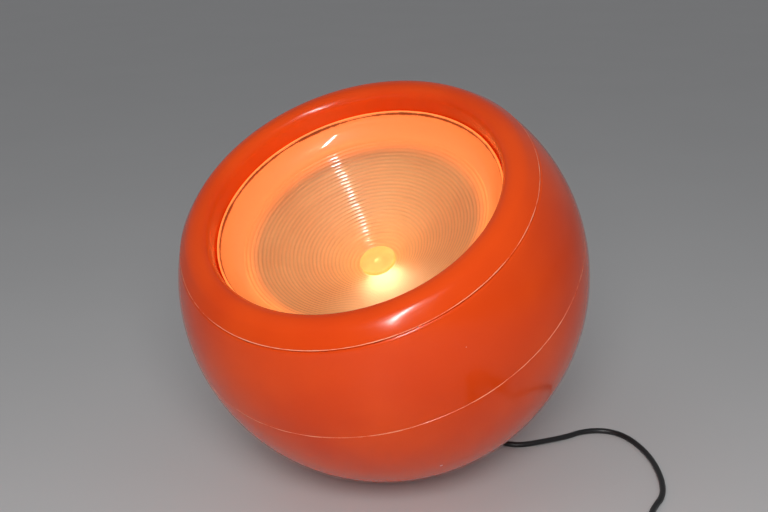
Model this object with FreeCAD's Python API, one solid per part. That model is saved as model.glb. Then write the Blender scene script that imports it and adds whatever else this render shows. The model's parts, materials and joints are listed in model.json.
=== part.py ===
import FreeCAD, Part
import math
import os

Vector = FreeCAD.Vector

# Ball floor lamp: a gloss ball on a small foot, tipped back, with a dished, ringed diffuser.
# World frame: millimetres, +Z up, origin at the centre of the foot pad's rest face.
# Lamp frame: origin at the ball's centre, w along the lamp's axis towards the diffuser.

# Ball and its two shells
ballR = 210.0
wall = 3.0
ballHeight = 211.0
tilt = 31.0
seamW = 17.0
seamBevel = 0.4
mouthW = 106.6
spigotR = 206.0
postCircleR = 160.0
entryR = 6.0

# Front ring
ringSeamW = 107.1
ringSeamR = 181.4
ringCrestR = 157.7
ringOuterRound = 20.0
ringInnerRound = 13.5
ringCrestW = 123.7
lipR = 143.6
lipW = 104.2
ledgeR = 132.0
ledgeThick = 3.2
armCircleR = 138.0

# Diffuser dish
dishWall = 2.0
coneApexW = 11.5
coneSlope = 0.517
floorR = 20.0
coneR = 126.0
rimR = 140.6
rimW = 99.0
buttonR = 18.5
buttonHeight = 6.5

# Bulb and lampholder, places along the axis
bulbTopW = 6.0
bulbR = 30.0
capR = 13.2
capTopW = -73.5
tipBottomW = -99.0
socketR = 13.5
holderR = 19.8
holderMouthW = -70.0
holderBackW = -112.0
holderCapBackW = -134.0
shoulderW = -86.0
reflectorRimR = 128.0
reflectorRimW = 55.0

# Stem, bracket and cord entry
stemR = 5.0
stemBackW = -172.0
bracketW = -160.0
pillarX = 60.0
pillarR = 7.0
cordR = 3.0
cordStartW = -212.0
cordTurnW = -231.5
bootEndW = -225.0

# Foot and counterweight
padR = 32.0
padThick = 3.6
seatR = 36.0
seatTopZ = 15.0
weightR = 58.0
weightThick = 22.0
weightScrewR = 31.0

# Cord on the floor, from the boot to the switch; the points are the route's corners
lampRoute = [
    (2.5, 130, 5.2), (9, 145, 3), (26, 156, 3), (46, 155, 3), (62, 142, 3), (68, 120, 3),
    (75, 97, 3), (88, 85, 3), (105.5, 81, 3), (122.5, 86, 3), (141, 105, 3), (160, 126, 3),
    (170, 144, 3), (188, 158, 3), (209, 160, 3), (231, 148, 3), (256, 122, 3), (277, 87, 3),
    (291, 48, 3), (287, 14, 3), (296, -19, 4.5),
]
switchCentre = (346.2, -74.2)
switchTurn = -46.0
switchLength = 60.0
switchWidth = 27.0
switchHeight = 17.0
rockerTip = 8.0
rockerPinZ = 13.6
coilCentre = (372.2, -148.9)
coilTurn = 50.0
coilR = 35.0
coilBand = 12.0
coilHeight = 18.0
plugBack = (313.5, -150.5)
plugTurn = 142.0
plugCordDepth = 8.0

# Plug pins: a bare shank on a thinner root that is moulded in
pinR = 2.0
pinRootR = 1.7
pinRootX = 28.0
pinStartX = 36.4
pinEndX = 54.5
pinOffset = 9.3

lampPlace = FreeCAD.Placement(Vector(0, 0, ballHeight), FreeCAD.Rotation(Vector(1, 0, 0), tilt))
axis = Vector(0, 0, 1)


def outerAt(w):
    return math.sqrt(ballR ** 2 - w ** 2)


def innerAt(w):
    return math.sqrt((ballR - wall) ** 2 - w ** 2)


def onSphere(radius, w):
    return (math.sqrt(radius ** 2 - w ** 2), w)


def lathe(start, *steps):
    """Turns an outline of (r, w) points about the lamp's axis. A step is a point, for a line,
    or a pair of points, for an arc through the first to the second."""
    edges = []
    here = Vector(start[0], 0, start[1])
    for step in steps + (start,):
        if isinstance(step[0], tuple):
            through, end = (Vector(p[0], 0, p[1]) for p in step)
            edges.append(Part.Arc(here, through, end).toShape())
        else:
            end = Vector(step[0], 0, step[1])
            edges.append(Part.LineSegment(here, end).toShape())
        here = end
    return Part.Face(Part.Wire(edges)).revolve(Vector(), axis, 360)


def rod(radius, low, high, x=0.0, y=0.0):
    return Part.makeCylinder(radius, high - low, Vector(x, y, low))


def ring(outer, inner, low, high):
    return rod(outer, low, high).cut(rod(inner, low - 1, high + 1))


def block(x0, x1, y0, y1, z0, z1):
    return Part.makeBox(x1 - x0, y1 - y0, z1 - z0, Vector(x0, y0, z0))


def turned(shape, degrees):
    copy = shape.copy()
    copy.rotate(Vector(), axis, degrees)
    return copy


def around(shape, count, first=0.0):
    return [turned(shape, first + 360.0 * i / count) for i in range(count)]


def hexPrism(acrossFlats, low, high):
    corner = acrossFlats / math.sqrt(3)
    points = [Vector(corner * math.cos(math.radians(60 * i)), corner * math.sin(math.radians(60 * i)), low)
              for i in range(7)]
    return Part.Face(Part.makePolygon(points)).extrude(Vector(0, 0, high - low))


def rounded(shape, radius, pick):
    """Rounds the edges whose middle point satisfies pick."""
    edges = [e for e in shape.Edges if pick(e.valueAt((e.FirstParameter + e.LastParameter) / 2))]
    return shape.makeFillet(radius, edges)


def crossSlot(radius, depth, top):
    """The two crossed slots of a screw head whose top is at this height."""
    slot = block(-radius, radius, -0.5, 0.5, top - depth, top + 1)
    return slot.fuse(turned(slot, 90))


def panScrew(shankR, headR, headHigh, seat, end):
    head = rod(headR, seat, seat + headHigh)
    head = rounded(head, headHigh * 0.55, lambda p: p.z > seat + headHigh - 0.01)
    return head.fuse(rod(shankR, end, seat)).cut(crossSlot(headR * 0.55, headHigh * 0.5, seat + headHigh))


def tube(points, radius, name):
    """A round tube along straight runs joined by tangent arcs, one arc at each corner."""
    corners = [Vector(*p) for p in points]
    edges = []
    radii = []
    here = corners[0]
    for before, corner, after in zip(corners, corners[1:], corners[2:]):
        back = before - corner
        ahead = after - corner
        turn = math.pi - back.getAngle(ahead)
        reach = 0.45 * min(back.Length, ahead.Length)
        bend = reach / math.tan(turn / 2)
        radii.append(round(bend, 1))
        back.normalize()
        ahead.normalize()
        start = corner + back * reach
        end = corner + ahead * reach
        inward = back + ahead
        inward.normalize()
        middle = corner + inward * (bend / math.cos(turn / 2) - bend)
        edges.append(Part.LineSegment(here, start).toShape())
        edges.append(Part.Arc(start, middle, end).toShape())
        here = end
    edges.append(Part.LineSegment(here, corners[-1]).toShape())
    path = Part.Wire(edges)
    way = corners[1] - corners[0]
    section = Part.Wire(Part.makeCircle(radius, corners[0], way))
    solid = path.makePipeShell([section], True, False)
    expected = math.pi * radius ** 2 * path.Length
    print(name, "length", round(path.Length, 1), "radii", radii,
          "volume ratio", round(solid.Volume / expected, 4))
    return solid


def alongAxis(w):
    """The world point on the lamp's axis at this place."""
    p = lampPlace.multVec(Vector(0, 0, w))
    return (p.x, p.y, p.z)


def inLamp(shape):
    return shape.transformed(lampPlace.toMatrix(), True)


def toLampFrame(shape):
    return shape.transformed(lampPlace.inverse().toMatrix(), True)


# Shells -------------------------------------------------------------------------------------

def rearShell():
    edge = seamW - seamBevel
    shell = lathe(
        onSphere(ballR, -math.sqrt(ballR ** 2 - entryR ** 2)),
        (onSphere(ballR, -ballR * 0.7), onSphere(ballR, edge)),
        (outerAt(seamW) - seamBevel, seamW),
        (innerAt(seamW), seamW),
        (onSphere(ballR - wall, -(ballR - wall) * 0.7),
         onSphere(ballR - wall, -math.sqrt((ballR - wall) ** 2 - entryR ** 2))))
    ball = Part.makeSphere(ballR - 1)
    for x in (-pillarX, pillarX):
        pillar = rod(pillarR, -ballR, bracketW, x).common(ball)
        shell = shell.fuse(pillar).cut(rod(1.7, bracketW - 16, bracketW + 1, x))
    web = block(postCircleR, ballR, -2, 2, -24, 5).common(ball)
    boss = rod(6.5, -24, 5, postCircleR).fuse(web)
    for post in around(boss, 4, 45):
        shell = shell.fuse(post)
    for hole in around(rod(1.8, -18, 6, postCircleR), 4, 45):
        shell = shell.cut(hole)
    seat = rod(seatR, padThick, seatTopZ).cut(rod(25.0, padThick + wall, seatTopZ + 1))
    shell = shell.fuse(toLampFrame(seat))
    shell = shell.cut(toLampFrame(rod(padR + 30, -10, padThick)))
    for hole in around(rod(2.1, seatTopZ - 8, seatTopZ + 1, weightScrewR), 3, 30):
        shell = shell.cut(toLampFrame(hole))
    return inLamp(shell)


def frontShell():
    seatLow = 98.0
    seatHigh = 101.0
    shell = lathe(
        (outerAt(seamW) - seamBevel, seamW),
        onSphere(ballR, seamW + seamBevel),
        (onSphere(ballR, 65.0), onSphere(ballR, mouthW)),
        onSphere(ballR - wall, mouthW),
        (onSphere(ballR - wall, (mouthW + seatHigh) / 2), onSphere(ballR - wall, seatHigh)),
        (173.5, seatHigh),
        (173.5, seatLow),
        onSphere(ballR - wall, seatLow),
        (onSphere(ballR - wall, 65.0), onSphere(ballR - wall, 27.0)),
        (spigotR - 2.6, 23.0),
        (spigotR - 2.6, 7.0),
        (spigotR, 7.0),
        (spigotR, seamW))
    ball = Part.makeSphere(ballR - 1)
    armTop = ledgeTop() - ledgeThick
    arm = block(armCircleR - 7, ballR, -7, 7, armTop - 6, armTop).common(ball)
    for part in around(arm, 4):
        shell = shell.fuse(part)
    for hole in around(rod(1.6, armTop - 7, armTop + 1, armCircleR), 4):
        shell = shell.cut(hole)
    tab = block(postCircleR - 8, spigotR - 1, -7, 7, 5, 8.5)
    for part in around(tab, 4, 45):
        shell = shell.fuse(part)
    for hole in around(rod(2.2, 4, 10, postCircleR), 4, 45):
        shell = shell.cut(hole)
    return inLamp(shell)


def shellScrews():
    screw = panScrew(1.75, 3.8, 2.6, 8.5, -14.0)
    screw.translate(Vector(postCircleR, 0, 0))
    return inLamp(Part.makeCompound(around(screw, 4, 45)))


# Front ring ---------------------------------------------------------------------------------

def dishArc():
    """Centre (r, w) and radius of the dish's rounded side, tangent to its cone."""
    slope = math.atan(coneSlope)
    coneW = coneApexW + coneSlope * coneR
    rise = math.atan2(rimW - coneW, rimR - coneR)
    chord = math.hypot(rimW - coneW, rimR - coneR)
    radius = chord / (2 * math.sin(rise - slope))
    return coneR - radius * math.sin(slope), coneW + radius * math.cos(slope), radius


def ledgeTop():
    """The ledge stays just clear of the dish's back."""
    r0, w0, radius = dishArc()
    return w0 - math.sqrt((radius + dishWall) ** 2 - (ledgeR - r0) ** 2) - 0.4


def ringPoint(centreW, radius, degrees):
    a = math.radians(degrees)
    return (ringCrestR + radius * math.cos(a), centreW + radius * math.sin(a))


def frontRing():
    outW = ringCrestW - ringOuterRound
    inW = ringCrestW - ringInnerRound
    outIn = ringOuterRound - wall
    inIn = ringInnerRound - wall
    shoulder = ringPoint(outW, ringOuterRound, 45)
    middle = ((ringSeamR + shoulder[0]) / 2 + 0.15, (ringSeamW + shoulder[1]) / 2 + 0.15)
    top = ledgeTop()
    body = lathe(
        (ringSeamR, ringSeamW),
        (middle, shoulder),
        (ringPoint(outW, ringOuterRound, 67), ringPoint(outW, ringOuterRound, 90)),
        (ringPoint(inW, ringInnerRound, 135), ringPoint(inW, ringInnerRound, 180)),
        (lipR, lipW),
        (lipR, top),
        (ledgeR, top),
        (ledgeR, top - ledgeThick),
        (lipR + wall, top - ledgeThick),
        ringPoint(inW, inIn, 180),
        (ringPoint(inW, inIn, 135), ringPoint(inW, inIn, 90)),
        (ringPoint(outW, outIn, 67), ringPoint(outW, outIn, 45)),
        (174.2, 111.0),
        (174.2, 101.0),
        (176.9, 101.0),
        (176.9, ringSeamW))
    sink = Part.makeCone(1.7, 3.7, 2.0, Vector(armCircleR, 0, top - 2.0))
    sink = sink.fuse(rod(1.7, top - 5, top, armCircleR)).fuse(rod(3.7, top, top + 0.5, armCircleR))
    for hole in around(sink, 4):
        body = body.cut(hole)
    return inLamp(body)


def ringScrews():
    top = ledgeTop()
    screw = Part.makeCone(1.55, 3.5, 1.95, Vector(0, 0, top - 2.05)).fuse(rod(1.55, top - 9, top - 2.05))
    screw = screw.cut(crossSlot(2.0, 1.0, top - 0.1))
    screw.translate(Vector(armCircleR, 0, 0))
    return inLamp(Part.makeCompound(around(screw, 4)))


# Diffuser -----------------------------------------------------------------------------------

def diffuserDish():
    r0, w0, radius = dishArc()
    slope = math.atan(coneSlope)
    back = dishWall / math.cos(slope)
    floorW = coneApexW + coneSlope * floorR
    coneW = coneApexW + coneSlope * coneR
    outRim = r0 + math.sqrt((radius + dishWall) ** 2 - (rimW - w0) ** 2)
    start = math.atan2(coneW - w0, coneR - r0)
    middle = (start + math.atan2(rimW - w0, rimR - r0)) / 2

    def onArc(r, a):
        return (r0 + r * math.cos(a), w0 + r * math.sin(a))

    return inLamp(lathe(
        (4.2, floorW),
        (floorR, floorW),
        (coneR, coneW),
        (onArc(radius, middle), (rimR, rimW)),
        (outRim, rimW),
        (onArc(radius + dishWall, middle), onArc(radius + dishWall, start)),
        (floorR, floorW + (onArc(radius + dishWall, start)[0] - coneR) * coneSlope - back),
        (4.2, floorW - back)))


def centreButton():
    low = coneApexW + coneSlope * floorR
    high = low + buttonHeight
    return inLamp(lathe(
        (0, high),
        ((buttonR * 0.5, high - 0.2), (buttonR - 2.2, high - 0.8)),
        ((buttonR - 0.6, high - 1.5), (buttonR, high - 3.0)),
        (buttonR, low),
        (4.0, low),
        (4.0, low - 4.6),
        (0, low - 4.6)))


def buttonWasher():
    low = coneApexW + coneSlope * floorR - dishWall / math.cos(math.atan(coneSlope))
    return inLamp(ring(8.0, 4.0, low - 1.2, low))


# Bulb ---------------------------------------------------------------------------------------

def bulbGlass():
    centre = bulbTopW - bulbR
    thick = 0.9

    def outline(inset):
        r = bulbR - inset
        join = math.radians(-38)
        neck = 12.6 - inset
        foot = capTopW - 6 + 2 * inset
        return lathe((0, centre + r),
                     ((r, centre), (r * math.cos(join), centre + r * math.sin(join))),
                     ((neck + 3.2, capTopW + 17), (neck, capTopW)),
                     (neck, foot), (0, foot))

    return inLamp(outline(0.0).cut(outline(thick)))


def bulbCap():
    pitch = 3.6
    ridge = 0.9
    outline = [(12.7, capTopW), (capR, capTopW - 1)]
    w = capTopW - 3
    for _ in range(5):
        outline += [((capR - ridge, w - pitch / 4), (capR, w - pitch / 2))]
        outline += [(capR, w - pitch)]
        w -= pitch
    shoulder = w - 0.6
    return inLamp(lathe(
        (12.65, capTopW), *outline, (capR - 1.2, shoulder), (7.5, shoulder - 1.4),
        (7.5, shoulder - 1.0), (capR - 1.8, shoulder + 0.4), (capR - 1.5, w + 1), (12.65 - 0.9, capTopW - 7),
        (12.65, capTopW - 7)))


def bulbInsulator():
    top = capTopW - 3 - 5 * 3.6 - 2.05
    low = tipBottomW + 1.6
    return inLamp(lathe((0, low), (4.4, low), (7.4, top - 0.2), (7.4, top + 0.5), (0, top + 0.5)))


def bulbTip():
    low = tipBottomW
    return inLamp(lathe((0, low), ((2.6, low + 0.35), (4.2, low + 1.4)), (0, low + 1.4)))


def bulbMount():
    """Glass stem, two lead wires and their supports inside the bulb."""
    base = capTopW - 6 + 1.8
    stem = Part.makeCone(6.0, 2.6, 26.0, Vector(0, 0, base)).fuse(rod(2.6, base + 26, base + 34))
    return inLamp(stem)


def bulbFilament():
    high = bulbTopW - bulbR + 1.0
    base = capTopW - 6 + 1.8 + 30
    wires = [tube([(s * 3.3, 0, base), (s * 4.0, 0, high - 12), (s * 11, 0, high)], 0.35, "lead wire")
             for s in (-1, 1)]
    coil = Part.makeCylinder(0.7, 22.6, Vector(-11.3, 0, high), Vector(1, 0, 0))
    return inLamp(Part.makeCompound([wires[0].fuse(coil).fuse(wires[1])]))


# Lampholder and reflector -------------------------------------------------------------------

def holderBody():
    return inLamp(lathe(
        (14.6, holderMouthW), (holderR - 0.6, holderMouthW), (holderR, holderMouthW - 1),
        (holderR, shoulderW), (23.5, shoulderW), (23.5, shoulderW - 3), (holderR + 1, shoulderW - 3.5),
        (holderR + 1, holderBackW), (17.2, holderBackW), (17.2, -100.2), (14.6, -100.2)))


def holderInsert():
    insert = lathe((0, -101.6), (14.2, -101.6), (14.2, -100.6), (17.0, -100.6), (17.0, -117.0), (0, -117.0))
    for x in (-9, 9):
        insert = insert.cut(rod(1.5, -118, -110, x))
    return inLamp(insert)


def threadShell():
    return inLamp(ring(14.1, socketR, -100.4, -76.0).fuse(ring(14.1, 8.0, -101.4, -100.4)))


def centreContact():
    leaf = block(-2.6, 2.6, -6.5, 4.5, -101.4, -100.9)
    finger = block(-2.6, 2.6, -4.5, 2.0, -100.2, -99.7).fuse(block(-2.6, 2.6, -4.5, -4.0, -100.9, -99.7))
    return inLamp(leaf.fuse(finger))


def terminalScrews():
    screw = panScrew(1.45, 2.8, 1.8, 0, -6)
    screw.rotate(Vector(), Vector(1, 0, 0), 180)
    screws = []
    for x in (-9, 9):
        copy = screw.copy()
        copy.translate(Vector(x, 0, -117.0))
        screws.append(copy)
    return inLamp(Part.makeCompound(screws))


def holderCap():
    back = holderCapBackW
    return inLamp(lathe(
        (17.2, holderBackW), (holderR + 1, holderBackW), (holderR + 1, holderBackW - 8),
        ((16.0, back + 3.5), (9.0, back)), (stemR, back), (stemR, back + 3.0), (8.0, back + 3.0),
        ((14.2, back + 6.0), (17.2, holderBackW - 8))))


def shadeRing():
    return inLamp(ring(25.0, holderR + 0.05, shoulderW + 1.0, shoulderW + 5.0))


def reflector():
    """Spun bowl, white inside, clamped on the lampholder's skirt."""
    thick = 1.0
    footW = shoulderW
    outline = lathe(
        (holderR + 0.3, footW), (36.0, footW),
        ((104.0, -42.0), (reflectorRimR, reflectorRimW - 3)),
        ((reflectorRimR + 2.2, reflectorRimW - 0.8), (reflectorRimR + 3.4, reflectorRimW - 3)),
        (reflectorRimR + 2.4, reflectorRimW - 3),
        ((reflectorRimR + 2.0, reflectorRimW - 2.2), (reflectorRimR - thick + 0.2, reflectorRimW - 3)),
        ((104.0 - thick, -42.0 + thick), (35.0, footW + thick)), (holderR + 0.3, footW + thick))
    return inLamp(outline)


# Stem, bracket, cord entry ------------------------------------------------------------------

def stemTube():
    return inLamp(ring(stemR, 3.5, stemBackW, holderCapBackW + 4.0))


def stemNuts():
    high = hexPrism(14, bracketW + 2.0, bracketW + 5.5).cut(rod(stemR, -200, 0))
    low = hexPrism(14, bracketW - 3.5, bracketW).cut(rod(stemR, -200, 0))
    return inLamp(Part.makeCompound([high, low]))


def bracket():
    strap = block(-pillarX - 14, pillarX + 14, -13, 13, bracketW, bracketW + 2)
    strap = rounded(strap, 8.0, lambda p: abs(abs(p.x) - pillarX - 14) < 0.01 and abs(abs(p.y) - 13) < 0.01)
    strap = strap.cut(rod(stemR + 0.1, -170, -150))
    for x in (-pillarX, pillarX):
        strap = strap.cut(rod(2.1, -170, -150, x))
    return inLamp(strap)


def bracketScrews():
    screws = []
    for x in (-pillarX, pillarX):
        screw = panScrew(1.65, 3.6, 2.4, bracketW + 2, bracketW - 12)
        screw.translate(Vector(x, 0, 0))
        screws.append(screw)
    return inLamp(Part.makeCompound(screws))


def cordGrip():
    body = hexPrism(15, -184.0, -170.0).cut(rod(cordR + 0.1, -190, -160)).cut(rod(stemR, stemBackW, -160))
    return inLamp(body.cut(Part.makeCylinder(1.3, 12, Vector(0, 3, -178.0), Vector(0, 1, 0))))


def gripScrew():
    shank = Part.makeCylinder(1.25, 5.5, Vector(0, 3.3, -178.0), Vector(0, 1, 0))
    head = Part.makeCylinder(2.5, 1.6, Vector(0, 7.6, -178.0), Vector(0, 1, 0))
    slot = block(-3, 3, 8.4, 10, -178.4, -177.6)
    return inLamp(shank.fuse(head).cut(slot))


def cordInner():
    return inLamp(rod(cordR, cordStartW, -126.0))


def core(side):
    points = [(side * 1.2, 0, -125.4), (side * 3.0, 0, -122.5), (side * 5.2, 2.5, -120.6)]
    return inLamp(tube(points, 0.9, "core"))


def cordBoot():
    """Rubber grommet with a tapered tail, snapped into the rear shell's pole hole."""
    flangeW = -outerAt(entryR) - 0.1
    insideW = -innerAt(entryR) + 0.6
    return inLamp(lathe(
        (cordR + 0.05, insideW + 3), (8.0, insideW + 3), (8.0, insideW), (5.95, insideW),
        (5.95, flangeW), (8.4, flangeW), (8.4, flangeW - 1.6), (6.3, flangeW - 2.4),
        (cordR + 1.1, bootEndW), (cordR + 0.05, bootEndW)))


# Foot and counterweight ---------------------------------------------------------------------

def footPad():
    return rod(padR, 0, padThick)


def counterweight():
    weight = rod(weightR, seatTopZ, seatTopZ + weightThick)
    weight = rounded(weight, 3.0, lambda p: abs(math.hypot(p.x, p.y) - weightR) < 0.01 and p.z > seatTopZ + 5)
    for hole in around(rod(2.6, 0, 60, weightScrewR), 3, 30):
        weight = weight.cut(hole)
    for hole in around(rod(5.5, seatTopZ + weightThick - 5, 60, weightScrewR), 3, 30):
        weight = weight.cut(hole)
    return weight


def weightScrews():
    screw = panScrew(2.05, 4.6, 3.2, seatTopZ + weightThick - 5, seatTopZ - 7.5)
    screw.translate(Vector(weightScrewR, 0, 0))
    return Part.makeCompound(around(screw, 3, 30))


# Cord, switch and plug ----------------------------------------------------------------------

switchPlace = FreeCAD.Placement(Vector(*switchCentre, 0), FreeCAD.Rotation(axis, switchTurn))


def atSwitch(x, z):
    p = switchPlace.multVec(Vector(x, 0, z))
    return (p.x, p.y, p.z)


def switchShape(shape):
    return shape.transformed(switchPlace.toMatrix(), True)


def switchHull(low, high):
    """The switch's plan outline, narrowed towards the cord ends."""
    a = switchLength / 2
    b = switchWidth / 2
    points = [(-a, -5.5), (-a * 0.62, -b), (a * 0.62, -b), (a, -5.5),
              (a, 5.5), (a * 0.62, b), (-a * 0.62, b), (-a, 5.5), (-a, -5.5)]
    outline = Part.makePolygon([Vector(x, y, low) for x, y in points])
    return Part.Face(outline).extrude(Vector(0, 0, high - low))


def cordChannel():
    a = switchLength / 2
    centres = [Vector(x, 0, switchHeight / 2) for x in (-a, a - 14)]
    ends = [Part.makeCylinder(cordR, 14, centre, Vector(1, 0, 0)) for centre in centres]
    return ends[0].fuse(ends[1])


def rockerPin(gap):
    """The rocker's pin, or the hole that it runs in when a gap is given."""
    return Part.makeCylinder(1.2 + gap, 17.6, Vector(0, -8.8, rockerPinZ), Vector(0, 1, 0))


def switchBase():
    low = switchHull(0, switchHeight / 2)
    low = rounded(low, 1.2, lambda p: p.z < 0.01)
    low = low.cut(block(-13, 13, -9, 9, 2, 20)).cut(cordChannel())
    return switchShape(low)


def switchCover():
    high = switchHull(switchHeight / 2, switchHeight)
    high = rounded(high, 2.5, lambda p: p.z > switchHeight - 0.01)
    high = high.cut(block(-13, 13, -9, 9, 2, switchHeight - 2)).cut(cordChannel())
    high = high.cut(block(-11.6, 11.6, -6.3, 6.3, 8, 20))
    for y in (-7.9, 7.9):
        high = high.fuse(block(-2.5, 2.5, y - 1.2, y + 1.2, 10.5, switchHeight - 1.9))
    return switchShape(high.cut(rockerPin(0)))


def switchRocker():
    """Rocker tipped to its on side, turning about a pin across the switch."""
    points = [(-10.2, 12.0), (10.2, 12.0), (10.5, 17.9), (0, 18.7), (-10.5, 17.9), (-10.2, 12.0)]
    side = Part.Face(Part.makePolygon([Vector(x, -5.9, z) for x, z in points]))
    body = side.extrude(Vector(0, 11.8, 0)).cut(rockerPin(0.05))
    body.rotate(Vector(0, 0, rockerPinZ), Vector(0, 1, 0), rockerTip)
    return switchShape(body)


def switchPin():
    return switchShape(rockerPin(0))


def plugPlace():
    return FreeCAD.Placement(Vector(*plugBack, 7.0), FreeCAD.Rotation(axis, plugTurn))


def plugShape(shape):
    return shape.transformed(plugPlace().toMatrix(), True)


def plugBody():
    """Flat two-pin plug, its cord end at x = 0 and its pins towards +x."""
    side = [(11, 4.6), (20, 13.0), (30, 17.6), (36, 17.6)]
    points = [(x, -y) for x, y in side] + side[::-1]
    outline = [Vector(x, y, -6.85) for x, y in points + points[:1]]
    body = Part.Face(Part.makePolygon(outline)).extrude(Vector(0, 0, 13.7))
    body = rounded(body, 2.6, lambda p: abs(abs(p.z) - 6.85) < 0.01 and p.x < 35.9 and p.x > 11.1)
    neck = Part.makeCone(cordR + 1.2, 5.2, 16, Vector(), Vector(1, 0, 0))
    body = body.fuse(neck).cut(Part.makeCylinder(cordR, plugCordDepth, Vector(), Vector(1, 0, 0)))
    for y in (-pinOffset, pinOffset):
        body = body.cut(Part.makeCylinder(pinRootR, 10, Vector(pinRootX, y, 0), Vector(1, 0, 0)))
    return plugShape(body)


def plugPins():
    pins = []
    for y in (-pinOffset, pinOffset):
        shank = Part.makeCylinder(pinR, pinEndX - pinStartX, Vector(pinStartX, y, 0), Vector(1, 0, 0))
        shank = rounded(shank, 1.4, lambda p: p.x > pinEndX - 0.1)
        root = Part.makeCylinder(pinRootR, pinStartX - pinRootX, Vector(pinRootX, y, 0), Vector(1, 0, 0))
        pins.append(shank.fuse(root))
    return plugShape(Part.makeCompound(pins))


def atCoil(x, y, z):
    p = FreeCAD.Rotation(axis, coilTurn).multVec(Vector(x, y, z))
    return (coilCentre[0] + p.x, coilCentre[1] + p.y, p.z)


def cordToSwitch():
    start = [alongAxis(cordStartW), alongAxis(cordTurnW)]
    end = [atSwitch(x - switchLength / 2, switchHeight / 2) for x in (-8, 8)]
    return tube(start + lampRoute + end, cordR, "cord to switch")


def cordToCoil():
    start = atSwitch(switchLength / 2 - 8, switchHeight / 2)
    points = [start, atSwitch(switchLength / 2 + 8, switchHeight / 2), atCoil(coilR + 1.4, 16, 4.0),
              atCoil(coilR + 2.2, 0, 3.2)]
    return tube(points, cordR, "cord to coil")


def cordCoil():
    coil = ring(coilR + coilBand / 2, coilR - coilBand / 2, 0, coilHeight)
    coil = coil.makeFillet(2.4, [e for e in coil.Edges if e.Closed])
    coil.translate(Vector(*coilCentre, 0))
    return coil


def cordToPlug():
    left = -coilR - 2.2
    approach = [plugPlace().multVec(Vector(x, 0, 0)) for x in (-8, plugCordDepth)]
    return tube([atCoil(left, 0, 15), atCoil(left - 0.4, 20, 11.5)]
                + [(p.x, p.y, p.z) for p in approach], cordR, "cord to plug")


nodes = {
    "rear_shell": rearShell, "front_shell": frontShell, "shell_screws": shellScrews,
    "front_ring": frontRing, "ring_screws": ringScrews,
    "diffuser_dish": diffuserDish, "centre_button": centreButton, "button_washer": buttonWasher,
    "bulb_glass": bulbGlass, "bulb_cap": bulbCap, "bulb_insulator": bulbInsulator, "bulb_tip": bulbTip,
    "bulb_mount": bulbMount, "bulb_filament": bulbFilament,
    "holder_body": holderBody, "holder_insert": holderInsert, "holder_thread_shell": threadShell,
    "holder_contact": centreContact, "terminal_screws": terminalScrews, "holder_cap": holderCap,
    "shade_ring": shadeRing, "reflector": reflector,
    "stem_tube": stemTube, "stem_nuts": stemNuts, "bracket": bracket, "bracket_screws": bracketScrews,
    "cord_grip": cordGrip, "grip_screw": gripScrew, "cord_inner": cordInner,
    "core_live": lambda: core(1), "core_neutral": lambda: core(-1), "cord_boot": cordBoot,
    "foot_pad": footPad, "counterweight": counterweight, "weight_screws": weightScrews,
    "cord_to_switch": cordToSwitch, "cord_to_coil": cordToCoil, "cord_coil": cordCoil,
    "cord_to_plug": cordToPlug,
    "switch_base": switchBase, "switch_cover": switchCover, "switch_rocker": switchRocker,
    "switch_pin": switchPin, "plug_body": plugBody, "plug_pins": plugPins,
}

os.makedirs("parts", exist_ok=True)
for name, make in nodes.items():
    shape = make()
    box = shape.BoundBox
    print(name, "valid", shape.isValid(), "solids", len(shape.Solids), "mm3", round(shape.Volume),
          "box", [round(v, 1) for v in (box.XMin, box.YMin, box.ZMin, box.XMax, box.YMax, box.ZMax)])
    shape.exportStep("parts/" + name + ".step")
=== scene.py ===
import json
import math

import bmesh
import bpy
from mathutils import Matrix, Vector


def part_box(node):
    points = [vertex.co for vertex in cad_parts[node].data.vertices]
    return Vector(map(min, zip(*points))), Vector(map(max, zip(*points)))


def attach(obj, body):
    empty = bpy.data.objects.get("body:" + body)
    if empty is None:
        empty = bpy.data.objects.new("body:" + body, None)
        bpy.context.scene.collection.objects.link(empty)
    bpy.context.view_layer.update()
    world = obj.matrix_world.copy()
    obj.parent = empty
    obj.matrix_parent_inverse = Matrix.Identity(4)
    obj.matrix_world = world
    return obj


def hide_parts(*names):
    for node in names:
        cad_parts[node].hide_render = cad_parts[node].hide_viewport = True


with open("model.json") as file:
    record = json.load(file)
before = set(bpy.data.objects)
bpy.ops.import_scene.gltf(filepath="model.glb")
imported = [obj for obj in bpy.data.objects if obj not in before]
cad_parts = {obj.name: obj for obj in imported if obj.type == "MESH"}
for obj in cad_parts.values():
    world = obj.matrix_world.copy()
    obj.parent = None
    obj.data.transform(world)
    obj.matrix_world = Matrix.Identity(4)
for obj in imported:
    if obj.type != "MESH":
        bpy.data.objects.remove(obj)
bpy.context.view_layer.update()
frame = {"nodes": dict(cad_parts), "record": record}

mm = 0.001
joints = {joint["name"]: joint for joint in frame["record"]["behaviour"]["joints"]}

# The lamp's own frame: w runs along its axis, from the ball's centre towards the diffuser.
lampAxis = Vector(joints["diffuser_lift"]["axis"]).normalized()
sideAxis = Vector((1, 0, 0))
upAxis = lampAxis.cross(sideAxis)
bulbCentreW = -24 * mm
ballCentre = Vector(joints["bulb_turn"]["pos_m"]) - lampAxis * bulbCentreW
lampMatrix = Matrix.Translation(ballCentre) @ Matrix((sideAxis, upAxis, lampAxis)).transposed().to_4x4()
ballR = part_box("rear_shell")[1][0] / mm


def inLamp(x, v, w):
    return lampMatrix @ Vector((x * mm, v * mm, w * mm))


# Camera -------------------------------------------------------------------------------------

camera = {
    "azimuth": 28.76,     # degrees round from the front, to the right
    "elevation": 18.0,
    "roll": 1.34,
    "distance": 1.1412,   # from the ball's centre, along the view
    "above": 0.0207,      # the view's middle passes above the ball's centre
    "lens": 51.56,
}


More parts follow.
